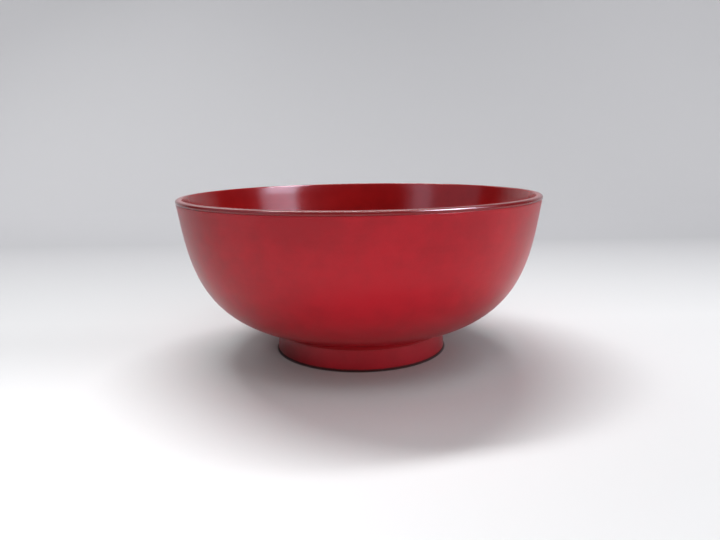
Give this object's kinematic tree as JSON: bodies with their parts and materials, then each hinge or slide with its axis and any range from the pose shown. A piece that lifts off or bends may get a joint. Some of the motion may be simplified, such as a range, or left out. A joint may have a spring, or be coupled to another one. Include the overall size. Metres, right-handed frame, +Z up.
{
  "type": "rice bowl",
  "caption": "Round red lacquered rice bowl: a deep open bowl with a thin rounded lip, standing on a low ring foot with a recess under it.",
  "frame": {"origin": "centre of the foot ring's contact circle, on the surface that the bowl stands on", "axes": "+Z up along the bowl's axis of turning, out of its mouth; X and Y are alike, because the bowl is round"},
  "size_m": [0.12, 0.12, 0.0531],
  "materials": {
    "turned_wood": "matte",
    "ground_coat": "matte",
    "lacquer_inside": "gloss",
    "lacquer_outside": "satin",
    "lacquer_foot": "satin"
  },
  "bodies": {
    "root": {"wood_core": "turned_wood", "ground_coat_inner": "ground_coat", "ground_coat_outer": "ground_coat", "ground_coat_foot": "ground_coat", "lacquer_inner": "lacquer_inside", "lacquer_outer": "lacquer_outside", "lacquer_foot": "lacquer_foot", "lacquer_foot_recess": "lacquer_foot"}
  },
  "joints": []
}
